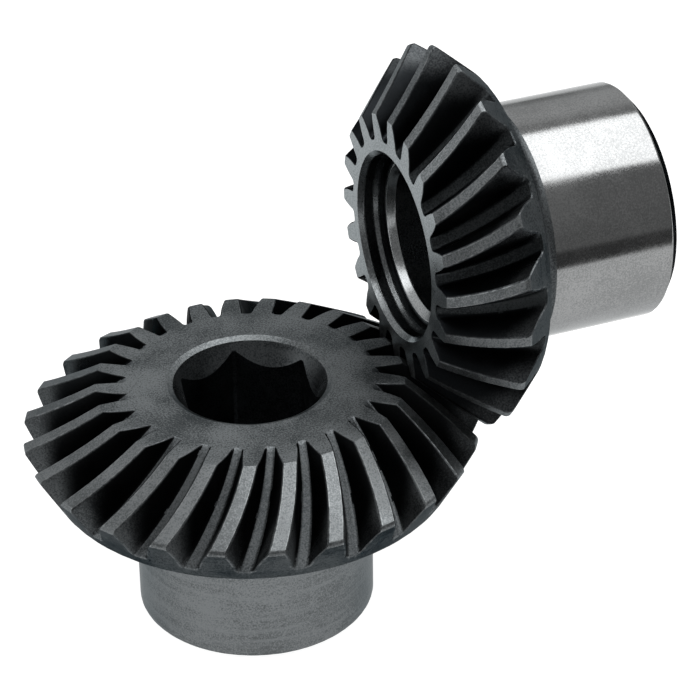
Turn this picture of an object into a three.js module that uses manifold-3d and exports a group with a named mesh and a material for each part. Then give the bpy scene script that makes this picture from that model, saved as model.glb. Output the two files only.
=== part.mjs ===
// A pair of spiral bevel gears in mesh on crossing shafts, with the plain bush that the pinion runs on.
//
// Millimetres, +Z up. The origin is the point where the two shaft axes cross. The ring gear turns about Z
// and hangs below the origin, teeth up. The pinion turns about X and reaches out along +X.
// Both gears are drawn in one way: apex at the origin, body along -Z, and "depth" is the distance from the
// apex plane down the gear's own axis. The pinion is then laid over on its side.

import * as THREE from 'three';
import { mergeVertices } from 'three/addons/utils/BufferGeometryUtils.js';
import Module from 'manifold-3d';

// ---------------------------------------------------------------- driving dimensions

const OUTER_MODULE = 4.5;
const RING_TEETH = 25;
const PINION_TEETH = 20;
const PRESSURE_ANGLE = THREE.MathUtils.degToRad(20);
const MEAN_SPIRAL_ANGLE = THREE.MathUtils.degToRad(17);
const MEAN_CONE_DISTANCE = 61;
const CUTTER_RADIUS = 92;         // radius of the arc that the teeth follow on the crown gear
const FLANK_RELIEF = 0.14;        // taken off each flank at the outer end, for backlash
const RING_PHASE = THREE.MathUtils.degToRad(0.74);

const RING = {
  teeth: RING_TEETH,
  mate: PINION_TEETH,
  dedendum: 5.85,
  rootFillet: 0.8,
  faceDepth: 29.6,                // the flat face that the teeth run out into
  kinkRadius: 39,                 // where the flat face meets the tops of the teeth
  tip: [58.25, 42.5],             // radius and depth of the teeth's outer corner
  backEdge: [52.1, 53.7],
  backRoot: [36.5, 58.9],
  hubRadius: 30.5,
  hubFillet: 5,
  hubEnd: 94.6,
  hubChamfer: 1,
  hexAcrossFlats: 32,
  hexCorner: THREE.MathUtils.degToRad(23.5),
  rimRadius: 21,                  // the wide, shallow chamfer around the bore
  rimHalfAngle: THREE.MathUtils.degToRad(62),
  leadInRadius: 20,               // the deeper cone inside it, measured where it would reach the face
  leadInHalfAngle: THREE.MathUtils.degToRad(32),
  endLeadIn: 1.2,
};

const PINION = {
  teeth: PINION_TEETH,
  mate: RING_TEETH,
  dedendum: 4.5,
  rootFillet: 1.1,
  faceDepth: 39.15,
  kinkRadius: 33.9,
  tip: [49.4, 54.55],
  backEdge: [41.6, 63.4],
  backRoot: [35, 65.6],
  hubRadius: 30.4,
  hubFillet: 4.5,
  hubEnd: 104.3,
  hubChamfer: 2.5,
  mouthRadius: 23.3,
  mouthEnd: 43.1,                   // where the counterbore starts to narrow to the bore
  mouthStep: 1.1,                   // length of the chamfer it narrows by
  mouthChamfer: 1.2,
  boreRadius: 22.9,
  boreChamfer: 1.5,
};

const BUSH = { innerRadius: 19.1, outerRadius: 22.6, start: 45.6, end: 101, leadIn: 1.8, chamfer: 0.5 };

const ROUND_STEPS = 72;           // sides of a full circle
const CORNER_STEPS = 4;
const SLOT_SECTIONS = 7;          // cross sections along one gap between teeth
const FLANK_STEPS = 3;
const WELD_DISTANCE = 1e-5;

// ---------------------------------------------------------------- solids

const wasm = await Module();
wasm.setup();

function toSolid(geometry) {
  const bare = geometry.index ? geometry.toNonIndexed() : geometry.clone();
  bare.deleteAttribute('normal');
  bare.deleteAttribute('uv');
  const merged = mergeVertices(bare, WELD_DISTANCE);
  return new wasm.Manifold(new wasm.Mesh({
    numProp: 3,
    vertProperties: new Float32Array(merged.attributes.position.array),
    triVerts: new Uint32Array(merged.index.array),
  }));
}

function toGeometry(solid) {
  const mesh = solid.getMesh();
  const geometry = new THREE.BufferGeometry();
  geometry.setAttribute('position', new THREE.BufferAttribute(new Float32Array(mesh.vertProperties), 3));
  geometry.setIndex(new THREE.BufferAttribute(new Uint32Array(mesh.triVerts), 1));
  geometry.computeVertexNormals();
  return geometry;
}

// A solid of revolution about Z from an outline of [radius, depth] points, given face first, outside, back.
function turned(outline, steps = ROUND_STEPS) {
  const points = outline.map(([radius, depth]) => new THREE.Vector2(radius, -depth)).reverse();
  points.push(points[0].clone());
  return toSolid(new THREE.LatheGeometry(points, steps).rotateX(Math.PI / 2));
}

// The round corner between a gear's back and its hub, as [radius, depth] points. It leaves the back along
// the back's own slope, and meets the hub a fillet's length further down.
function hubCorner(gear) {
  const [rootRadius, rootDepth] = gear.backRoot;
  const backSlope = 0.3;
  const curve = new THREE.QuadraticBezierCurve(
    new THREE.Vector2(rootRadius, rootDepth),
    new THREE.Vector2(gear.hubRadius, rootDepth + backSlope * (rootRadius - gear.hubRadius)),
    new THREE.Vector2(gear.hubRadius, rootDepth + gear.hubFillet),
  );
  return curve.getPoints(CORNER_STEPS).map((point) => [point.x, point.y]);
}

// ---------------------------------------------------------------- teeth

// Turn of a tooth about the crown gear's centre at one cone distance: the teeth follow an arc of the
// cutter's radius that crosses the mean cone distance at the mean spiral angle.
const cutterOffset = Math.sqrt(
  MEAN_CONE_DISTANCE ** 2 + CUTTER_RADIUS ** 2
  - 2 * MEAN_CONE_DISTANCE * CUTTER_RADIUS * Math.sin(MEAN_SPIRAL_ANGLE),
);

function crownAngle(coneDistance) {
  const cosine = (distance) => (distance ** 2 + cutterOffset ** 2 - CUTTER_RADIUS ** 2)
    / (2 * distance * cutterOffset);
  return Math.acos(cosine(coneDistance)) - Math.acos(cosine(MEAN_CONE_DISTANCE));
}

const involute = (angle) => Math.tan(angle) - angle;

// Half the angle, about the gear's axis, of the gap between two teeth, at a height above the pitch cone.
function halfGapAngle(gear, pitchAngle, coneDistance, height) {
  const transverse = Math.atan(Math.tan(PRESSURE_ANGLE) / Math.cos(MEAN_SPIRAL_ANGLE));
  const virtualTeeth = gear.teeth / Math.cos(pitchAngle);
  const pitchRadius = coneDistance * Math.tan(pitchAngle);
  const baseRadius = pitchRadius * Math.cos(transverse);
  const radius = Math.max(pitchRadius + height, baseRadius);
  const halfTooth = Math.PI / (2 * virtualTeeth) + involute(transverse) - involute(Math.acos(baseRadius / radius));
  const relief = FLANK_RELIEF / (OUTER_MODULE * gear.teeth / (2 * Math.cos(pitchAngle)));
  return (Math.PI / virtualTeeth - halfTooth + relief) / Math.cos(pitchAngle);
}

// One gap between two teeth, as a closed solid a little longer and taller than the teeth themselves.
function gapSolid(gear, hand, turn) {
  const pitchAngle = Math.atan2(gear.teeth, gear.mate);
  const outerConeDistance = OUTER_MODULE * gear.teeth / (2 * Math.sin(pitchAngle));
  const slope = gear.dedendum / outerConeDistance;
  const overrunInside = 0.93;
  const overrunOutside = 1.13;
  const tallestAddendum = 1.3 * OUTER_MODULE;
  const start = overrunInside * gear.faceDepth / (Math.cos(pitchAngle) + slope * Math.sin(pitchAngle));
  const end = overrunOutside * outerConeDistance;
  const positions = [];
  for (let section = 0; section < SLOT_SECTIONS; section += 1) {
    const coneDistance = start + (end - start) * section / (SLOT_SECTIONS - 1);
    const scale = coneDistance / outerConeDistance;
    const floor = -slope * coneDistance;
    const fillet = gear.rootFillet * scale;
    const bottom = floor + fillet;
    const top = tallestAddendum * scale;
    const along = hand * crownAngle(coneDistance) / Math.sin(pitchAngle) + turn;
    for (let step = -1; step <= FLANK_STEPS; step += 1) {
      const onFloor = step < 0;
      const height = onFloor ? floor : bottom + (top - bottom) * step / FLANK_STEPS;
      const radius = coneDistance * Math.sin(pitchAngle) + height * Math.cos(pitchAngle);
      const depth = coneDistance * Math.cos(pitchAngle) - height * Math.sin(pitchAngle);
      const half = halfGapAngle(gear, pitchAngle, coneDistance, height) - (onFloor ? fillet / radius : 0);
      for (const side of [-1, 1]) {
        const azimuth = along + side * half;
        positions.push(radius * Math.cos(azimuth), radius * Math.sin(azimuth), -depth);
      }
    }
  }
  const rung = 2;
  const flankStrips = FLANK_STEPS + 1;
  const row = rung * (flankStrips + 1);
  const faces = [];
  const quad = (a, b, c, d) => faces.push(a, c, b, a, d, c);
  for (let section = 0; section < SLOT_SECTIONS - 1; section += 1) {
    const here = section * row;
    const next = here + row;
    for (let step = 0; step < flankStrips; step += 1) {
      const low = rung * step;
      quad(here + low, here + low + rung, next + low + rung, next + low);
      quad(here + low + 1, next + low + 1, next + low + rung + 1, here + low + rung + 1);
    }
    quad(here, next, next + 1, here + 1);
    quad(here + row - rung, here + row - 1, next + row - 1, next + row - rung);
  }
  const last = (SLOT_SECTIONS - 1) * row;
  for (let step = 0; step < flankStrips; step += 1) {
    const low = rung * step;
    quad(low, low + 1, low + rung + 1, low + rung);
    quad(last + low, last + low + rung, last + low + rung + 1, last + low + 1);
  }
  const geometry = new THREE.BufferGeometry();
  geometry.setAttribute('position', new THREE.Float32BufferAttribute(positions, 3));
  geometry.setIndex(faces);
  return toSolid(geometry);
}

function cutTeeth(blank, gear, hand, phase) {
  let solid = blank;
  for (let tooth = 0; tooth < gear.teeth; tooth += 1) {
    const turn = phase + (tooth + 0.5) * 2 * Math.PI / gear.teeth;
    solid = solid.subtract(gapSolid(gear, hand, turn));
  }
  return solid;
}

// ---------------------------------------------------------------- pieces

function ringGear() {
  const gear = RING;
  const blank = turned([
    [0, gear.faceDepth],
    [gear.kinkRadius, gear.faceDepth],
    gear.tip,
    gear.backEdge,
    ...hubCorner(gear),
    [gear.hubRadius, gear.hubEnd - gear.hubChamfer],
    [gear.hubRadius - gear.hubChamfer, gear.hubEnd],
    [0, gear.hubEnd],
  ]);
  const cornerRadius = gear.hexAcrossFlats / Math.sqrt(3);
  const overrun = 2;
  const height = gear.hubEnd - gear.faceDepth;
  const hexagon = new THREE.CylinderGeometry(cornerRadius, cornerRadius, height + 2 * overrun, 6)
    .rotateX(Math.PI / 2)
    .rotateZ(gear.hexCorner + Math.PI / 2)
    .translate(0, 0, -(gear.faceDepth + gear.hubEnd) / 2);
  // A conical mouth of the hexagonal bore, drawn from just outside a face down to a point.
  const mouth = (faceDepth, mouthRadius, halfAngle, inward) => {
    const wide = mouthRadius + overrun * Math.tan(halfAngle);
    const length = wide / Math.tan(halfAngle);
    return new THREE.ConeGeometry(wide, length, ROUND_STEPS)
      .rotateX(-inward * Math.PI / 2)
      .translate(0, 0, -faceDepth + inward * (overrun - length / 2));
  };
  const chamferAngle = Math.PI / 4;
  const bored = blank
    .subtract(toSolid(hexagon))
    .subtract(toSolid(mouth(gear.faceDepth, gear.rimRadius, gear.rimHalfAngle, 1)))
    .subtract(toSolid(mouth(gear.faceDepth, gear.leadInRadius, gear.leadInHalfAngle, 1)))
    .subtract(toSolid(mouth(gear.hubEnd, cornerRadius + gear.endLeadIn, chamferAngle, -1)));
  return toGeometry(cutTeeth(bored, gear, 1, RING_PHASE));
}

function pinion() {
  const gear = PINION;
  const blank = turned([
    [gear.mouthRadius + gear.mouthChamfer, gear.faceDepth],
    [gear.kinkRadius, gear.faceDepth],
    gear.tip,
    gear.backEdge,
    ...hubCorner(gear),
    [gear.hubRadius, gear.hubEnd - gear.hubChamfer],
    [gear.hubRadius - gear.hubChamfer, gear.hubEnd],
    [gear.boreRadius + gear.boreChamfer, gear.hubEnd],
    [gear.boreRadius, gear.hubEnd - gear.boreChamfer],
    [gear.boreRadius, gear.mouthEnd + gear.mouthStep],
    [gear.mouthRadius, gear.mouthEnd],
    [gear.mouthRadius, gear.faceDepth + gear.mouthChamfer],
  ]);
  // A tooth of the ring gear stands in a gap of the pinion, so the pinion starts half a tooth on.
  const ratio = gear.mate / gear.teeth;
  const phase = Math.PI - ratio * RING_PHASE + Math.PI / gear.teeth;
  return toGeometry(cutTeeth(blank, gear, -1, phase));
}

function pinionBush() {
  const { innerRadius, outerRadius, start, end, leadIn, chamfer } = BUSH;
  return toGeometry(turned([
    [innerRadius + leadIn, start],
    [outerRadius - chamfer, start],
    [outerRadius, start + chamfer],
    [outerRadius, end - chamfer],
    [outerRadius - chamfer, end],
    [innerRadius + chamfer, end],
    [innerRadius, end - chamfer],
    [innerRadius, start + leadIn],
  ]));
}

// ---------------------------------------------------------------- assembly

const blackenedSteel = new THREE.MeshStandardMaterial({ color: 0x5c6164, roughness: 0.55, metalness: 0.9 });
const groundSteel = new THREE.MeshStandardMaterial({ color: 0x9a9c9d, roughness: 0.3, metalness: 1 });
const bushSteel = new THREE.MeshStandardMaterial({ color: 0xb4b5b5, roughness: 0.25, metalness: 1 });

function piece(name, geometry, material) {
  const mesh = new THREE.Mesh(geometry, material);
  mesh.name = name;
  return mesh;
}

const gearPair = new THREE.Group();
gearPair.add(piece('ring_gear', ringGear(), blackenedSteel));

const pinionShaftLine = new THREE.Group();
pinionShaftLine.rotation.y = -Math.PI / 2;
pinionShaftLine.add(piece('pinion', pinion(), groundSteel));
pinionShaftLine.add(piece('pinion_bush', pinionBush(), bushSteel));
gearPair.add(pinionShaftLine);

export default gearPair;
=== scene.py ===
"""A pair of spiral bevel gears in mesh, with the plain bush that the pinion runs on, under soft studio light.

Each gear is drawn in its own frame, in millimetres: the apex of its teeth is the origin, the body reaches
along -Z, and "depth" is the distance from the apex down that axis. The ring gear stays as it is drawn. The
pinion is laid over on its side, so that its axis becomes +X.
"""

import math

import bmesh
import bpy
import numpy as np
from mathutils import Matrix, Vector


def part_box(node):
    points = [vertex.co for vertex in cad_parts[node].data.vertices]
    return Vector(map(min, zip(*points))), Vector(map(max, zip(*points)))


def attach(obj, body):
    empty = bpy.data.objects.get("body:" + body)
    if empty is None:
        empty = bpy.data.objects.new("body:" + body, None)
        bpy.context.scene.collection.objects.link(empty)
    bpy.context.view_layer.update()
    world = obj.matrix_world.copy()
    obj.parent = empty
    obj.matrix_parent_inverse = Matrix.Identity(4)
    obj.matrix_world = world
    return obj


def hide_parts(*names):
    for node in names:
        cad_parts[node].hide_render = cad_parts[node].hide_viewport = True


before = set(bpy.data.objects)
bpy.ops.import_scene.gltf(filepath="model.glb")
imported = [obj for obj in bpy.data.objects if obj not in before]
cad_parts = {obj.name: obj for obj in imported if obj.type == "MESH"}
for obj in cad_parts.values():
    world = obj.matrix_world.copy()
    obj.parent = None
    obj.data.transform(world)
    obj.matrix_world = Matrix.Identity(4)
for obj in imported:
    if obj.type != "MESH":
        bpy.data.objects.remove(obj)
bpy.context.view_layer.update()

MM = 0.001
WELD_DISTANCE = 2e-6                # metres
SHARP_ANGLE = math.radians(24)

# ---------------------------------------------------------------- the gears' dimensions, in millimetres

OUTER_MODULE = 4.5
PRESSURE_ANGLE = math.radians(20)
MEAN_SPIRAL_ANGLE = math.radians(17)
MEAN_CONE_DISTANCE = 61.0       # from the apex to the middle of the teeth
CUTTER_RADIUS = 92.0            # of the arc that the teeth follow on the crown gear
FLANK_RELIEF = 0.14             # how far each flank stands back from its true line
RING_PHASE = math.radians(0.74)
TOOTH_CHAMFER = 0.30            # width of the broken edge round each tooth gap
HEEL_ROUND = 1.2                # radius of the corner between a tooth's land and its outer end
HEEL_ROWS = (1.3, 1.0, 0.8, 0.6, 0.45)      # rows of points at that corner, as shares of its radius
ROWS_ALONG_TOOTH = 24
ROWS_DOWN_FLANK = 8
EASE = 0.3                      # radius of a turned edge that is only just broken

# How the painted shade on a flank (darkest at its foot in the gap, thinned near the outer end as painted
# light) and the bare metal on its edges run, as values of the mesh's two attributes
PAINTED_SHADE_AT_TOP = 0.45             # "shade" at a flank's top, where its foot has 1
HEEL_PAINTED_LIGHT_START = 0.45                # share of a flank's length after which the painted shade thins out, leaving painted light toward the outer end
EDGE_WEAR = 0.55                # "wear" on a flank's upper edge
FOOT_WEAR = 0.35                # the share of it that is left at the flank's foot
ACROSS_STRIP = np.array([0.0, 0.09, 0.5, 0.91, 1.0])        # columns of the strip between two gaps
WEAR_ACROSS_STRIP = np.array([1.0, 0.12, 0.0, 0.12, 1.0])

RING = dict(
    teeth=25, mate=20, dedendum=5.85, root_fillet=1.2, face_depth=29.6, kink_radius=39.0, tip=(58.25, 42.5),
    back_edge=(52.1, 53.7), back_root=(36.5, 58.9), hub_radius=30.5, hub_fillet=5.0, hub_end=94.6,
    hub_chamfer=1.0, across_flats=32.0, hex_corner=math.radians(23.5), rim_radius=21.0,
    rim_half_angle=math.radians(62), lead_in_radius=20.0, lead_in_half_angle=math.radians(32),
    end_lead_in=1.2,
)
PINION = dict(
    teeth=20, mate=25, dedendum=4.5, root_fillet=1.55, face_depth=39.15, kink_radius=33.9, tip=(49.4, 54.55),
    back_edge=(41.6, 63.4), back_root=(35.0, 65.6), hub_radius=30.4, hub_fillet=4.5, hub_end=104.3,
    hub_chamfer=2.5, mouth_radius=23.3, mouth_end=43.1, mouth_step=1.1, mouth_chamfer=1.2, bore_radius=22.9,
    bore_chamfer=1.5,
)
BUSH = dict(inner_radius=19.1, outer_radius=22.6, start=45.6, end=101.0, chamfer=0.5, lead_in=1.8)

# Finishes, as numbers of the material slots on each gear
TEETH, FLOOR, LAND, FACE, BACK, HUB, EDGE, BORE, MOUTH = range(9)


# ---------------------------------------------------------------- meshes made of grids of points


class Skin:
    """A surface gathered from grids of (radius, azimuth, depth) points, rows running from the gear's front
    face over the teeth to its hub, and columns with the azimuth, so that every face looks outwards."""

    def __init__(self):
        self.points, self.faces, self.finishes, self.wear, self.shade = [], [], [], [], []
        self.count = 0

    def grid(self, radius, azimuth, depth, finish, wear=0.0, shade=0.0, closed=False):
        radius, azimuth, depth = np.broadcast_arrays(radius, azimuth, depth)
        rows, columns = radius.shape
        xyz = np.stack([radius * np.cos(azimuth), radius * np.sin(azimuth), -depth], axis=-1)
        self.points.append(xyz.reshape(-1, 3))
        self.wear.append(np.broadcast_to(wear, radius.shape).reshape(-1).astype(float))
        self.shade.append(np.broadcast_to(shade, radius.shape).reshape(-1).astype(float))
        number = np.arange(rows * columns).reshape(rows, columns) + self.count
        right = np.roll(number, -1, axis=1) if closed else number[:, 1:]
        here = number if closed else number[:, :-1]
        quads = np.stack([here[:-1], here[1:], right[1:], right[:-1]], axis=-1).reshape(-1, 4)
        self.faces.append(quads)
        self.finishes.append(np.full(len(quads), finish))
        self.count += rows * columns

    def revolve(self, outline, azimuths, finish):
        outline = np.array(outline, float)
        self.grid(outline[:, :1], azimuths[None, :], outline[:, 1:], finish, closed=True)

    def build(self, name, materials):
        mesh = bpy.data.meshes.new(name)
        mesh.from_pydata((np.concatenate(self.points) * MM).tolist(), [], np.concatenate(self.faces).tolist())
        for label, values in (("wear", self.wear), ("shade", self.shade)):
            attribute = mesh.attributes.new(label, "FLOAT", "POINT")
            attribute.data.foreach_set("value", np.concatenate(values).astype(np.float32))
        mesh.polygons.foreach_set("material_index", np.concatenate(self.finishes).astype(np.int32))
        weld = bmesh.new()
        weld.from_mesh(mesh)
        bmesh.ops.remove_doubles(weld, verts=weld.verts, dist=WELD_DISTANCE)
        weld.to_mesh(mesh)
        weld.free()
        mesh.shade_smooth()
        mesh.set_sharp_from_angle(angle=SHARP_ANGLE)
        for material in materials:
            mesh.materials.append(material)
        piece = bpy.data.objects.new(name, mesh)
        bpy.context.scene.collection.objects.link(piece)
        return piece


def rounded(outline, radius=EASE, steps=3):
    """The outline with each inner corner turned into a small curve."""
    points = [np.array(p, float) for p in outline]
    result = [points[0]]
    for before, corner, after in zip(points, points[1:], points[2:]):
        leave = before - corner
        reach = after - corner
        cut = min(radius, 0.45 * np.linalg.norm(leave), 0.45 * np.linalg.norm(reach))
        start = corner + leave / np.linalg.norm(leave) * cut
        end = corner + reach / np.linalg.norm(reach) * cut
        for step in range(steps + 1):
            t = step / steps
            result.append((1 - t) ** 2 * start + 2 * t * (1 - t) * corner + t ** 2 * end)
    result.append(points[-1])
    return result


def sliced(start, end, count):
    """Points from start to end, both included."""
    return [np.array(start) + (np.array(end) - np.array(start)) * i / count for i in range(count + 1)]


# ---------------------------------------------------------------- the shape of the teeth

CUTTER_OFFSET = math.sqrt(
    MEAN_CONE_DISTANCE ** 2 + CUTTER_RADIUS ** 2
    - 2 * MEAN_CONE_DISTANCE * CUTTER_RADIUS * math.sin(MEAN_SPIRAL_ANGLE)
)


def crown_angle(distance):
    """Turn of a tooth about the crown gear's centre: the teeth follow an arc of the cutter's radius."""
    def turn(d):
        return np.arccos((d ** 2 + CUTTER_OFFSET ** 2 - CUTTER_RADIUS ** 2) / (2 * d * CUTTER_OFFSET))
    return turn(np.asarray(distance, float)) - turn(MEAN_CONE_DISTANCE)


def involute(angle):
    return np.tan(angle) - angle


def half_gap(gear, pitch_angle, distance, height):
    """Half the angle of the gap between two teeth, at a height above the pitch cone."""
    transverse = math.atan(math.tan(PRESSURE_ANGLE) / math.cos(MEAN_SPIRAL_ANGLE))
    virtual_teeth = gear["teeth"] / math.cos(pitch_angle)
    pitch_radius = distance * math.tan(pitch_angle)
    base_radius = pitch_radius * math.cos(transverse)
    radius = np.maximum(pitch_radius + height, base_radius)
    half_tooth = (math.pi / (2 * virtual_teeth) + involute(transverse)
                  - involute(np.arccos(base_radius / radius)))
    relief = FLANK_RELIEF / (OUTER_MODULE * gear["teeth"] / (2 * math.cos(pitch_angle)))
    return (math.pi / virtual_teeth - half_tooth + relief) / math.cos(pitch_angle)


def toothed_skin(skin, gear, hand, phase, inner_circle, back_outline):
    """The front face, the teeth and everything behind them down to back_outline's end. The front face runs in
    to the radius inner_circle. back_outline lists (radius, depth, finish) from the back edge of the teeth."""
    teeth = gear["teeth"]
    pitch = 2 * math.pi / teeth
    angle = math.atan2(teeth, gear["mate"])
    sine, cosine = math.sin(angle), math.cos(angle)
    outer_distance = OUTER_MODULE * teeth / (2 * sine)
    slope = gear["dedendum"] / outer_distance

    def cone_point(radius_depth):
        radius, depth = radius_depth
        return np.array([radius * sine + depth * cosine, radius * cosine - depth * sine])

    # Corners of a flank, as (cone distance, height): run-out, kink, tip and outer root.
    kink = cone_point((gear["kink_radius"], gear["face_depth"]))
    tip, edge = cone_point(gear["tip"]), cone_point(gear["back_edge"])
    run_out_distance = gear["face_depth"] / (cosine + slope * sine)
    run_out = np.array([run_out_distance, -slope * run_out_distance])
    share = -(tip[1] + slope * tip[0]) / ((edge[1] - tip[1]) + slope * (edge[0] - tip[0]))
    outer_root = tip + share * (edge - tip)

    # One gap's section, from the top of its lower-azimuth flank down, across the floor and up again. Each row
    # has the side of the gap, the share of the flank's height (None: where the edge is broken), how far the
    # fillet has left the flank (None: on the floor), and how much the surface faces sideways and upwards.
    fillet_share = gear["root_fillet"] / (gear["dedendum"] + OUTER_MODULE * 0.8)
    down = [(None, 0.0, 1.0, 0.0)]
    down += [(t, 0.0, 1.0, 0.0) for t in np.linspace(0.94, fillet_share * 1.25, ROWS_DOWN_FLANK)]
    down += [(fillet_share * (1 - math.cos(a)), 1 - math.sin(a), math.sin(a), math.cos(a))
             for a in np.radians([90, 70, 50, 30, 12, 0])]
    section = [(-1, *row) for row in down]
    section += [(f, 0.0, None, 0.0, 1.0) for f in (-0.4, 0.4)]
    section += [(1, *row) for row in reversed(down)]
    count = len(section)
    left_corner = len(down) - 1
    right_corner = count - len(down)

    along = np.linspace(0, 1, ROWS_ALONG_TOOTH)
    near = TOOTH_CHAMFER / np.linalg.norm(outer_root - run_out)
    along[0], along[-1] = near, 1 - near
    heel = HEEL_ROUND / np.linalg.norm(tip - kink)
    along = np.sort(np.concatenate([along, 1 - heel * np.array(HEEL_ROWS)]))
    lengths = np.array([0.0, *along, 1.0])
    rows = len(lengths)
    radius = np.zeros((rows, count + 2))
    azimuth = np.zeros_like(radius)
    depth = np.zeros_like(radius)
    wear = np.zeros_like(radius)
    shade = np.zeros_like(radius)

    def place(s, t):
        low = run_out + (outer_root - run_out) * s
        high = kink + (tip - kink) * s
        return low + (high - low) * t

    end_run = np.array(gear["back_edge"]) - np.array(gear["tip"])
    end_run = end_run / np.linalg.norm(end_run)
    for i, s in enumerate(lengths):
        first, last = i == 0, i == rows - 1
        tall = np.linalg.norm(place(s, 1.0) - place(s, 0.0))
        rounding = max(0.0, 1 - (1 - s) / heel)
        drop = HEEL_ROUND * (1 - math.sqrt(1 - min(rounding, 0.95) ** 2)) / tall
        for j in range(count + 2):
            rim = j in (0, count + 1)
            side, t, shrink, lateral, sink = section[min(max(j - 1, 0), count - 1)]
            if rim:
                t, shrink, lateral, sink = 1.0, 0.0, 1.0, 0.0
            elif t is None:
                t = 1 - TOOTH_CHAMFER / tall
            t *= 1 - drop
            distance, height = place(s, t)
            r = distance * sine + height * cosine
            d = distance * cosine - height * sine
            scale = gear["root_fillet"] * distance / outer_distance / r
            half = float(half_gap(gear, angle, distance, height))
            if shrink is None:
                offset = side * (half - scale)
            else:
                offset = side * (half - shrink * scale)
            lateral = lateral * np.sign(side)
            if rim or first or last:
                offset += lateral * TOOTH_CHAMFER / r
            if first and not rim:
                r -= sink * TOOTH_CHAMFER
            if last and not rim:
                r += sink * TOOTH_CHAMFER * end_run[0]
                d += sink * TOOTH_CHAMFER * end_run[1]
            radius[i, j] = r
            depth[i, j] = d
            azimuth[i, j] = hand * float(crown_angle(distance)) / sine + offset
            if rim or first or last:
                wear[i, j] = EDGE_WEAR * (FOOT_WEAR + (1 - FOOT_WEAR) * t)
            else:
                # Painted shade: darker down the flank toward the gap's foot, thinned toward the outer end as
                # painted light
                painted_heel_light = max(0.0, (s - HEEL_PAINTED_LIGHT_START) / (1 - HEEL_PAINTED_LIGHT_START)) ** 2
                shade[i, j] = PAINTED_SHADE_AT_TOP + (1 - PAINTED_SHADE_AT_TOP) * (1 - t) - painted_heel_light
    on_floor = range(left_corner - 2, right_corner + 3)
    starts = phase + (np.arange(teeth) + 0.5) * pitch
    strip_wear = WEAR_ACROSS_STRIP[None, :]

    def strip(left_points, right_points, start):
        """Radius, azimuth and depth of a tooth's surface between its two gaps."""
        left = (azimuth[left_points] + start)[:, None]
        right = (azimuth[right_points] + start + pitch)[:, None]
        return radius[left_points][:, None], left + (right - left) * ACROSS_STRIP, depth[left_points][:, None]

    def loop(row, start, r, a, d):
        """An end's outline over one pitch: the gap's floor, then the foot of the tooth's strip."""
        return np.stack([np.concatenate([radius[row, floor_columns], np.repeat(r[0], 3)]),
                         np.concatenate([azimuth[row, floor_columns] + start, a[0, 1:-1]]),
                         np.concatenate([depth[row, floor_columns], np.repeat(d[0], 3)])])

    steps = np.arange(left_corner + 2)
    front_left = (np.zeros_like(steps), right_corner + 1 + steps)
    front_right = (np.zeros_like(steps), left_corner + 1 - steps)
    back_left = (np.full_like(steps, rows - 1), (right_corner + 1 + steps)[::-1])
    back_right = (np.full_like(steps, rows - 1), (left_corner + 1 - steps)[::-1])
    everything = np.arange(rows)
    top_left = (everything, np.full_like(everything, count + 1))
    top_right = (everything, np.zeros_like(everything))
    front_loop, back_loop = [], []
    floor_columns = np.arange(left_corner + 1, right_corner + 2)
    for start in starts:
        for left, right, finish in ((0, on_floor[0] + 2, TEETH), (on_floor[0], on_floor[-1] + 3, FLOOR),
                                    (on_floor[-1] + 1, count + 2, TEETH)):
            part = np.s_[:, left:right]
            skin.grid(radius[part], azimuth[part] + start, depth[part], finish, wear[part], shade[part])
        skin.grid(*strip(top_left, top_right, start), LAND, wear=strip_wear)
        r, a, d = strip(front_left, front_right, start)
        skin.grid(r, a, d, FACE, wear=strip_wear * 0.7)
        front_loop.append(loop(0, start, r, a, d))
        r, a, d = strip(back_left, back_right, start)
        skin.grid(r, a, d, BACK, wear=strip_wear * 0.8)
        back_loop.append(loop(-1, start, r[::-1], a[::-1], d[::-1]))
    front_loop = np.concatenate(front_loop, axis=1)
    back_loop = np.concatenate(back_loop, axis=1)

    # The front face inside the run-out of the gaps.
    smallest = front_loop[0].min() - 0.4
    radii = np.linspace(inner_circle, smallest, 8)
    r = np.vstack([np.repeat(radii[:, None], front_loop.shape[1], axis=1), front_loop[0]])
    a = np.repeat(front_loop[1][None, :], len(r), axis=0)
    skin.grid(r, a, np.full_like(r, gear["face_depth"]), FACE, closed=True)

    # The rest of the outer end, and the back down to the hub's end.
    end_radius, end_depth, finish = back_outline[0]
    end_radii, azimuths, end_depths = back_loop
    r = np.vstack([end_radii, np.full_like(end_radii, end_radius)])
    d = np.vstack([end_depths, np.full_like(end_depths, end_depth)])
    skin.grid(r, azimuths[None, :], d, finish, closed=True)
    for (r0, d0, finish), (r1, d1, _) in zip(back_outline, back_outline[1:]):
        skin.revolve([(r0, d0), (r1, d1)], azimuths, finish)


def hub_corner(gear, steps=8):
    """The round corner between a gear's back and its hub."""
    root_radius, root_depth = gear["back_root"]
    hub = gear["hub_radius"]
    a = np.array([root_radius, root_depth])
    b = np.array([hub, root_depth + 0.3 * (root_radius - hub)])
    c = np.array([hub, root_depth + gear["hub_fillet"]])
    return [(1 - t) ** 2 * a + 2 * t * (1 - t) * b + t ** 2 * c for t in np.linspace(0, 1, steps + 1)]


def with_finish(points, finish):
    return [(float(p[0]), float(p[1]), finish) for p in points]


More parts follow.
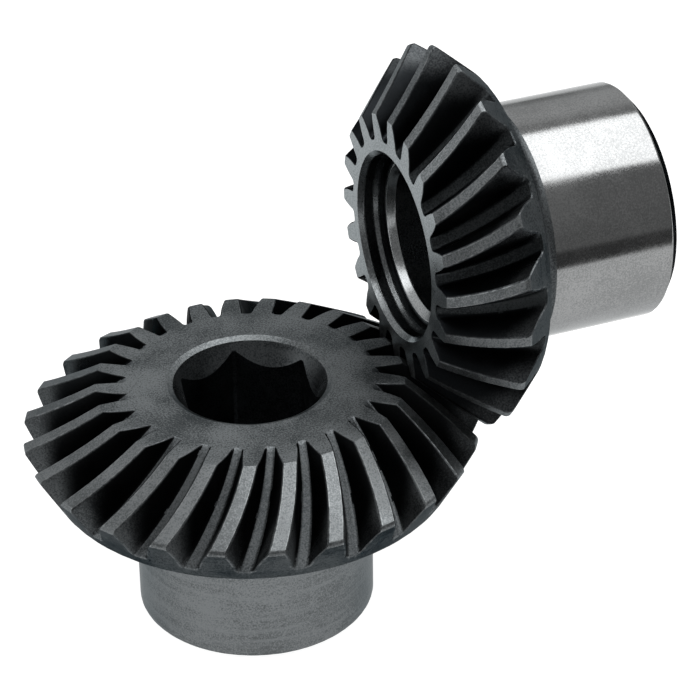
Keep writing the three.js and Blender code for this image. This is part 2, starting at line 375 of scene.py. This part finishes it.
def outside(gear):
    """Back edge of the teeth, back, corner, hub and the hub's end chamfer, each with its finish."""
    corner = hub_corner(gear)
    edge, root = np.array(gear["back_edge"]), np.array(gear["back_root"])
    tip = np.array(gear["tip"])
    ease = 0.35
    into = edge + (tip - edge) / np.linalg.norm(tip - edge) * ease
    away = edge + (root - edge) / np.linalg.norm(root - edge) * ease
    shoulder = gear["hub_end"] - gear["hub_chamfer"]
    line = with_finish(rounded([into, edge, away]), BACK)
    line += with_finish(sliced(away, corner[0], 6)[1:], BACK)
    line += with_finish(corner[1:-1], BACK) + with_finish(corner[-1:], HUB)
    down = rounded([corner[-1], (gear["hub_radius"], shoulder),
                    (gear["hub_radius"] - gear["hub_chamfer"], gear["hub_end"])])
    line += with_finish(down[1:4], HUB) + with_finish(down[4:-1], EDGE)
    return line


# ---------------------------------------------------------------- the three pieces

def ring_gear(materials):
    gear = RING
    skin = Skin()
    rim = gear["rim_radius"]
    end_radius = gear["across_flats"] / math.sqrt(3) + gear["end_lead_in"]
    face_end = gear["hub_radius"] - gear["hub_chamfer"] - 0.4
    line = outside(gear)
    line[-1] = (*line[-1][:2], HUB)
    line += with_finish(sliced((face_end, gear["hub_end"]), (end_radius, gear["hub_end"]), 5), HUB)
    toothed_skin(skin, gear, 1, RING_PHASE, rim + 0.3, line)

    # The hexagonal bore, from its end lead-in up to the conical mouth.
    azimuths = gear["hex_corner"] + np.arange(240) * 2 * math.pi / 240
    apothem = gear["across_flats"] / 2
    sixth = math.pi / 3
    wall = apothem / np.cos((azimuths - gear["hex_corner"]) % sixth - sixth / 2)
    wall = np.minimum(wall, apothem / math.cos(sixth / 2) - 0.25)
    mouth_slope = 1 / math.tan(gear["lead_in_half_angle"])
    low = gear["hub_end"] - (end_radius - wall)
    high = gear["face_depth"] + (gear["lead_in_radius"] - wall) * mouth_slope
    rim_slope = 1 / math.tan(gear["rim_half_angle"])
    meet = (gear["lead_in_radius"] * mouth_slope - rim * rim_slope) / (mouth_slope - rim_slope)
    meet_depth = gear["face_depth"] + (rim - meet) * rim_slope
    share = np.linspace(0, 1, 4)[:, None]
    skin.grid(end_radius + (wall - end_radius) * share, azimuths[None, :],
              gear["hub_end"] + (low - gear["hub_end"]) * share, BORE, closed=True)
    share = np.linspace(0, 1, 12)[:, None]
    skin.grid(wall[None, :], azimuths[None, :], low + (high - low) * share, BORE, closed=True)
    share = np.linspace(0, 1, 8)[:, None]
    skin.grid(wall + (meet - wall) * share, azimuths[None, :],
              high + (meet_depth - high) * share, MOUTH, closed=True)
    skin.revolve(rounded([(meet - 0.1, meet_depth + 0.1 * mouth_slope), (meet, meet_depth),
                          (rim, gear["face_depth"]), (rim + 0.3, gear["face_depth"])], 0.12), azimuths, EDGE)
    return skin.build("ring_gear_steel_body", materials)


def pinion(materials):
    gear = PINION
    skin = Skin()
    mouth = gear["mouth_radius"] + gear["mouth_chamfer"]
    line = outside(gear)
    face_end = gear["hub_radius"] - gear["hub_chamfer"] - 0.4
    bore_rim = gear["bore_radius"] + gear["bore_chamfer"]
    line += with_finish(sliced((face_end, gear["hub_end"]), (bore_rim + 0.3, gear["hub_end"]), 4), HUB)
    step = gear["mouth_end"] + gear["mouth_step"]
    bore = rounded([(bore_rim + 0.3, gear["hub_end"]), (bore_rim, gear["hub_end"]),
                    (gear["bore_radius"], gear["hub_end"] - gear["bore_chamfer"]),
                    (gear["bore_radius"], step + 0.4)], 0.2)
    ledge = rounded([(gear["bore_radius"], step + 0.4), (gear["bore_radius"], step),
                     (gear["mouth_radius"], gear["mouth_end"]),
                     (gear["mouth_radius"], gear["mouth_end"] - 0.4)], 0.2)
    wall = gear["face_depth"] + gear["mouth_chamfer"] + 0.4
    rim = rounded([(gear["mouth_radius"], wall), (gear["mouth_radius"], wall - 0.4),
                   (mouth, gear["face_depth"])])
    line += with_finish(bore, BORE) + with_finish(ledge[:-1], MOUTH) + with_finish(ledge[-1:], BORE)
    line += with_finish(rim, MOUTH)
    ratio = gear["mate"] / gear["teeth"]
    phase = math.pi - ratio * RING_PHASE + math.pi / gear["teeth"]
    toothed_skin(skin, gear, -1, phase, mouth, line)
    piece = skin.build("pinion_steel_body", materials)
    piece.matrix_world = Matrix.Rotation(-math.pi / 2, 4, "Y")
    return piece


def bush(materials):
    size = BUSH
    skin = Skin()
    inner, outer, start, end = (size[k] for k in ("inner_radius", "outer_radius", "start", "end"))
    chamfer, lead_in = size["chamfer"], size["lead_in"]
    azimuths = np.arange(180) * 2 * math.pi / 180
    middle = (inner + lead_in + outer - chamfer) / 2
    sleeve = rounded([(middle, start), (outer - chamfer, start), (outer, start + chamfer),
                      (outer, end - chamfer), (outer - chamfer, end), (inner + chamfer, end),
                      (inner, end - chamfer), (inner, start + lead_in + 0.4)], 0.18)
    mouth = rounded([(inner, start + lead_in + 0.4), (inner, start + lead_in), (inner + lead_in, start),
                     (middle, start)], 0.35, 5)
    skin.revolve(sleeve, azimuths, 0)
    skin.revolve(mouth, azimuths, 1)
    piece = skin.build("pinion_bush_steel_sleeve", materials)
    piece.matrix_world = Matrix.Rotation(-math.pi / 2, 4, "Y")
    return piece


# ---------------------------------------------------------------- materials

class Nodes:
    """Shorthand for building one material's node tree."""

    def __init__(self, name):
        self.material = bpy.data.materials.new(name)
        self.material.use_nodes = True
        self.tree = self.material.node_tree
        self.shader = self.tree.nodes["Principled BSDF"]

    def new(self, kind, **values):
        node = self.tree.nodes.new(kind)
        for key, value in values.items():
            setattr(node, key, value)
        return node

    def link(self, source, target):
        self.tree.links.new(source, target)

    def feed(self, value, socket):
        if isinstance(value, (int, float)):
            socket.default_value = value
        else:
            self.link(value, socket)

    def math(self, operation, a, b=0.0, clamp=False):
        node = self.new("ShaderNodeMath", operation=operation, use_clamp=clamp)
        self.feed(a, node.inputs[0])
        self.feed(b, node.inputs[1])
        return node.outputs[0]

    def vector(self, x, y, z):
        node = self.new("ShaderNodeCombineXYZ")
        for value, socket in zip((x, y, z), node.inputs):
            self.feed(value, socket)
        return node.outputs[0]

    def noise(self, where, scale, detail, roughness):
        node = self.new("ShaderNodeTexNoise")
        node.inputs["Scale"].default_value = scale
        node.inputs["Detail"].default_value = detail
        node.inputs["Roughness"].default_value = roughness
        self.link(where, node.inputs["Vector"])
        return node.outputs["Fac"]

    def ramp(self, value, low, high, bottom=0.0, top=1.0):
        node = self.new("ShaderNodeMapRange")
        node.interpolation_type = "SMOOTHSTEP"
        self.feed(value, node.inputs["Value"])
        for key, number in (("From Min", low), ("From Max", high), ("To Min", bottom), ("To Max", top)):
            node.inputs[key].default_value = number
        return node.outputs["Result"]

    def mix(self, share, a, b):
        node = self.new("ShaderNodeMix", data_type="RGBA")
        self.feed(share, node.inputs["Factor"])
        for value, socket in ((a, node.inputs[6]), (b, node.inputs[7])):
            if isinstance(value, tuple):
                socket.default_value = (*value, 1.0)
            else:
                self.link(value, socket)
        return node.outputs[2]

    def attribute(self, name):
        node = self.new("ShaderNodeAttribute", attribute_name=name)
        return node.outputs["Fac"]


# The noises that break up the steel, in cycles per metre
FINE_GRAIN = 2300.0
SPECKS = 900.0
CLOUDS = 62.0
RING_LINES = 900.0      # turned or forged marks
HUB_LINES = 2600.0      # ground marks
BUSH_LINES = 1600.0

# How far along a ring mark wanders before it changes, in metres of noise for each radian of turn
FINE_DRIFT = 0.0011
BROAD_DRIFT = 0.004

BARE_EDGE = 0.8         # share of bare metal on a fully worn edge
PAINTED_GAP_SHADE = 0.95       # share of the painted shade's darkest colour where "shade" is high, deep in the tooth gaps
RELIEF_UNIT = 1e-6      # heights of the reliefs are in micrometres


def steel(name, dark, light, worn, roughness, marks, grain,
          roughness_spread=0.10, lines=RING_LINES, gap_shade=None):
    """Machined steel: fine rings about the gear's axis, a blasted or forged grain, cloudy stains, and bare
    metal along worn edges. marks and grain are the heights of the two reliefs, in micrometres. The last
    argument is the colour of a painted shade, laid on where the mesh's "shade" is high, deep in the tooth
    gaps."""
    n = Nodes(name)
    where = n.new("ShaderNodeTexCoord").outputs["Object"]
    axes = n.new("ShaderNodeSeparateXYZ")
    n.link(where, axes.inputs[0])
    x, y, z = axes.outputs
    radius = n.math("SQRT", n.math("ADD", n.math("MULTIPLY", x, x), n.math("MULTIPLY", y, y)))
    turn = n.math("ARCTAN2", y, x)
    rings = n.noise(n.vector(radius, z, n.math("MULTIPLY", turn, FINE_DRIFT)), lines, 4.0, 0.7)
    broad = n.noise(n.vector(radius, z, n.math("MULTIPLY", turn, BROAD_DRIFT)), lines * 0.22, 2.0, 0.5)
    fine = n.noise(where, FINE_GRAIN, 3.0, 0.65)
    cloud = n.noise(where, CLOUDS, 4.0, 0.6)
    specks = n.noise(where, SPECKS, 3.0, 0.6)

    tone = n.math("ADD", n.math("MULTIPLY", cloud, 0.35), n.math("MULTIPLY", fine, 0.65))
    colour = n.mix(n.ramp(tone, 0.41, 0.59), dark, light)
    colour = n.mix(n.math("MULTIPLY", n.ramp(rings, 0.42, 0.66), min(1.0, marks * 0.22)), colour, light)
    broken = n.math("MULTIPLY", n.ramp(n.attribute("wear"), 0.25, 1.0, 0.0, BARE_EDGE),
                    n.ramp(specks, 0.30, 0.58), clamp=True)
    colour = n.mix(broken, colour, worn)
    # Painted shade: mix toward a near-black colour where the "shade" attribute is high, in the tooth gaps
    if gap_shade is not None:
        colour = n.mix(n.ramp(n.attribute("shade"), 0.0, 0.55, 0.0, PAINTED_GAP_SHADE), colour, gap_shade)
    n.link(colour, n.shader.inputs["Base Color"])
    n.shader.inputs["Metallic"].default_value = 1.0
    glancing = (min(1.0, 2.5 * value + 0.05) for value in light)
    n.shader.inputs["Specular Tint"].default_value = (*glancing, 1.0)

    rough = n.math("ADD", n.ramp(cloud, 0.3, 0.7, roughness - roughness_spread, roughness + roughness_spread),
                   n.math("MULTIPLY", n.math("SUBTRACT", fine, 0.5), 0.12))
    rough = n.math("SUBTRACT", rough, n.math("MULTIPLY", broken, 0.10), clamp=True)
    n.link(rough, n.shader.inputs["Roughness"])

    relief = n.math("ADD", n.math("MULTIPLY", rings, marks), n.math("MULTIPLY", broad, marks * 1.6))
    relief = n.math("ADD", relief, n.math("MULTIPLY", fine, grain))
    relief = n.math("ADD", relief, n.math("MULTIPLY", specks, grain * 1.4))
    bump = n.new("ShaderNodeBump")
    bump.inputs["Strength"].default_value = 1.0
    bump.inputs["Distance"].default_value = RELIEF_UNIT
    n.link(relief, bump.inputs["Height"])
    n.link(bump.outputs["Normal"], n.shader.inputs["Normal"])
    return n.material


# Each gear's finishes, in the order of the slots above: a dark, a light and a worn colour, and the surface.
ring_finishes = [
    # Flanks: dark colours and near-black gap colour are painted shade; where the gap shade thins near the
    # outer end they show as painted light
    steel("ring_tooth_flanks", (0.035, 0.038, 0.040), (0.09, 0.097, 0.10), (0.18, 0.19, 0.195),
          roughness=0.50, marks=1.0, grain=7.0, gap_shade=(0.005, 0.0055, 0.006)),
    # Gap floors: lighter than the flanks as painted light on the floors
    steel("ring_gap_floors", (0.070, 0.077, 0.081), (0.16, 0.172, 0.178), (0.16, 0.17, 0.175),
          roughness=0.50, marks=1.0, grain=9.0),
    steel("ring_tooth_lands", (0.09, 0.097, 0.10), (0.18, 0.191, 0.196), (0.28, 0.295, 0.30),
          roughness=0.44, marks=1.0, grain=8.0),
    steel("ring_front_face", (0.045, 0.050, 0.052), (0.165, 0.176, 0.181), (0.24, 0.255, 0.26),
          roughness=0.50, marks=1.0, grain=11.0),
    steel("ring_back", (0.035, 0.038, 0.040), (0.10, 0.108, 0.112), (0.20, 0.21, 0.215),
          roughness=0.48, marks=1.5, grain=7.0),
    steel("ring_hub", (0.095, 0.102, 0.105), (0.19, 0.202, 0.207), (0.3, 0.32, 0.33),
          roughness=0.38, marks=3.0, grain=5.5, roughness_spread=0.05),
    steel("ring_chamfers", (0.06, 0.066, 0.069), (0.15, 0.16, 0.164), (0.26, 0.275, 0.28),
          roughness=0.42, marks=1.0, grain=7.0),
    # Bore: near black as painted shade inside the hub
    steel("ring_bore", (0.010, 0.011, 0.012), (0.035, 0.039, 0.042), (0.3, 0.32, 0.33),
          roughness=0.45, marks=2.0, grain=7.0),
    steel("ring_lead_in", (0.025, 0.028, 0.030), (0.075, 0.081, 0.084), (0.3, 0.32, 0.33),
          roughness=0.40, marks=2.0, grain=9.0),
]
pinion_finishes = [
    # Flanks: dark colours and near-black gap colour are painted shade
    steel("pinion_tooth_flanks", (0.022, 0.024, 0.026), (0.065, 0.070, 0.073), (0.18, 0.19, 0.195),
          roughness=0.42, marks=1.0, grain=6.0, gap_shade=(0.007, 0.008, 0.009)),
    steel("pinion_gap_floors", (0.014, 0.016, 0.017), (0.040, 0.044, 0.046), (0.16, 0.17, 0.175),
          roughness=0.40, marks=1.0, grain=7.0),
    steel("pinion_tooth_lands", (0.08, 0.087, 0.090), (0.19, 0.202, 0.208), (0.28, 0.295, 0.30),
          roughness=0.46, marks=1.0, grain=9.0),
    steel("pinion_front_face", (0.105, 0.113, 0.116), (0.30, 0.318, 0.325), (0.3, 0.315, 0.32),
          roughness=0.38, marks=1.0, grain=9.0),
    steel("pinion_back", (0.035, 0.038, 0.040), (0.10, 0.108, 0.112), (0.22, 0.235, 0.24),
          roughness=0.46, marks=1.5, grain=6.0),
    steel("pinion_ground_hub", (0.18, 0.184, 0.185), (0.27, 0.274, 0.275), (0.6, 0.61, 0.61),
          roughness=0.14, marks=1.3, grain=0.5, roughness_spread=0.03, lines=HUB_LINES),
    # Hub's end chamfer: near black as a painted dark reflection
    steel("pinion_hub_chamfer", (0.010, 0.011, 0.012), (0.03, 0.033, 0.035), (0.10, 0.11, 0.115),
          roughness=0.45, marks=2.0, grain=4.0),
    steel("pinion_bore", (0.018, 0.020, 0.022), (0.055, 0.060, 0.063), (0.3, 0.32, 0.33),
          roughness=0.32, marks=2.0, grain=3.0),
    steel("pinion_mouth", (0.09, 0.097, 0.10), (0.21, 0.223, 0.229), (0.3, 0.32, 0.33),
          roughness=0.22, marks=1.5, grain=2.0),
]
bush_finishes = [
    steel("bush_bore", (0.06, 0.066, 0.069), (0.16, 0.17, 0.175), (0.4, 0.42, 0.43),
          roughness=0.30, marks=2.0, grain=2.0, roughness_spread=0.04, lines=BUSH_LINES),
    # Lead-in: much lighter than the bore, partly a painted highlight
    steel("bush_bright_lead_in", (0.20, 0.21, 0.215), (0.34, 0.353, 0.358), (0.4, 0.41, 0.41),
          roughness=0.20, marks=1.0, grain=1.0, roughness_spread=0.04, lines=BUSH_LINES),
]

for build, body, finishes in (
    (ring_gear, "ring_gear", ring_finishes),
    (pinion, "pinion", pinion_finishes),
    (bush, "pinion_bush", bush_finishes),
):
    piece = build(finishes)
    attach(piece, body)
    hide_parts(body)

# ---------------------------------------------------------------- floor, light and camera

ring_low, ring_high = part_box("ring_gear")
pinion_low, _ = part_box("pinion")
floor_height = min(ring_low.z, pinion_low.z)


def matt_sheet(name, x_size, y_size, location, grey, glow):
    """A matt sheet lying flat, which also gives off some white light of its own."""
    bpy.ops.mesh.primitive_plane_add(size=1.0, location=location)
    plane = bpy.context.object
    plane.name = name
    plane.scale = (x_size, y_size, 1.0)
    paint = bpy.data.materials.new(name)
    paint.use_nodes = True
    shader = paint.node_tree.nodes["Principled BSDF"]
    for key, value in (("Base Color", (grey, grey, grey, 1)), ("Roughness", 0.9),
                       ("Emission Color", (1, 1, 1, 1)), ("Emission Strength", glow)):
        shader.inputs[key].default_value = value
    plane.data.materials.append(paint)
    return plane


def card(name, near, far, level):
    """A card on the floor in front, out of the picture, for the hubs to reflect below their horizon."""
    place = (0.0, -(near + far) / 2, floor_height + 0.002)
    sheet = matt_sheet(name, 6.0, far - near, place, grey=0.02, glow=level)
    sheet.visible_camera = sheet.visible_shadow = sheet.visible_diffuse = False


floor = matt_sheet("floor", 8.0, 8.0, (0, 0, floor_height), grey=0.24, glow=0.95)
card("black_card", 0.24, 0.90, 0.04)
card("grey_card", 0.90, 3.90, 0.26)

world = bpy.data.worlds.new("studio")
bpy.context.scene.world = world
world.use_nodes = True
tree = world.node_tree
coordinates = tree.nodes.new("ShaderNodeTexCoord")
heading = tree.nodes.new("ShaderNodeSeparateXYZ")
tree.links.new(coordinates.outputs["Generated"], heading.inputs[0])


def sky(stops):
    """Brightness of one half of the studio against height above the horizon."""
    fade = tree.nodes.new("ShaderNodeValToRGB")
    tree.links.new(heading.outputs["Z"], fade.inputs["Fac"])
    while len(fade.color_ramp.elements) < len(stops):
        fade.color_ramp.elements.new(0.5)
    for element, (place, level) in zip(fade.color_ramp.elements, stops):
        element.position = place
        element.color = (level, level, level, 1)
    return fade.outputs["Color"]


# The studio is dim behind the camera and bright behind the gears, and one half fades into the other along Y.
front_sky = sky(((0.0, 0.28), (0.10, 0.30), (0.40, 0.34), (1.0, 0.38)))
back_sky = sky(((0.0, 0.35), (0.20, 0.80), (0.56, 0.90), (0.70, 0.55)))
side = tree.nodes.new("ShaderNodeMapRange")
side.interpolation_type = "SMOOTHSTEP"
side.inputs["From Min"].default_value = -0.25
side.inputs["From Max"].default_value = 0.45
tree.links.new(heading.outputs["Y"], side.inputs["Value"])
halves = tree.nodes.new("ShaderNodeMix")
halves.data_type = "RGBA"
tree.links.new(side.outputs["Result"], halves.inputs["Factor"])
tree.links.new(front_sky, halves.inputs[6])
tree.links.new(back_sky, halves.inputs[7])
tree.links.new(halves.outputs[2], tree.nodes["Background"].inputs["Color"])
tree.nodes["Background"].inputs["Strength"].default_value = 1.0

LAMP_TARGET = Vector((0.03, 0.0, -0.03))


def softbox(name, direction, distance, width, length, power):
    """A lamp that faces the gears, out of the camera's sight. Overhead, its width lies along Y."""
    light = bpy.data.lights.new(name, "AREA")
    light.shape = "RECTANGLE"
    light.size = width
    light.size_y = length
    light.energy = power
    lamp = bpy.data.objects.new(name, light)
    lamp.location = LAMP_TARGET + Vector(direction).normalized() * distance
    lamp.rotation_euler = (LAMP_TARGET - lamp.location).to_track_quat("-Z", "Y").to_euler()
    lamp.visible_camera = False
    bpy.context.scene.collection.objects.link(lamp)


softbox("overhead_softbox", (0.30, 0.0, 1.0), distance=1.2, width=1.00, length=1.30, power=15.5)
softbox("left_softbox", (-0.85, 0.20, 0.45), distance=1.4, width=0.5, length=0.5, power=2.0)

# The camera looks from where the photo was taken. It is placed from the centre of the ring gear's front face.
AZIMUTH = math.radians(-21.25)
ELEVATION = math.radians(32.22)
ROLL = math.radians(-0.78)
DISTANCE = 0.805
SIDEWAYS = 0.02523
UPWARDS = 0.00688
FOCAL_LENGTH = 164.57

face_centre = Vector((0.0, 0.0, ring_high.z))
level = math.cos(ELEVATION)
back = Vector((math.sin(AZIMUTH) * level, -math.cos(AZIMUTH) * level, math.sin(ELEVATION)))
right = Vector((math.cos(AZIMUTH), math.sin(AZIMUTH), 0.0))
up = back.cross(right)
lens_right = math.cos(ROLL) * right + math.sin(ROLL) * up
lens_up = -math.sin(ROLL) * right + math.cos(ROLL) * up
camera = bpy.data.objects.new("camera", bpy.data.cameras.new("camera"))
camera.data.sensor_width = 36.0
camera.data.lens = FOCAL_LENGTH
camera.matrix_world = Matrix((
    (lens_right.x, lens_up.x, back.x, 0.0),
    (lens_right.y, lens_up.y, back.y, 0.0),
    (lens_right.z, lens_up.z, back.z, 0.0),
    (0.0, 0.0, 0.0, 1.0),
))
camera.location = face_centre + back * DISTANCE + right * SIDEWAYS + up * UPWARDS
bpy.context.scene.collection.objects.link(camera)
bpy.context.scene.camera = camera
bpy.context.scene.view_settings.view_transform = "Standard"
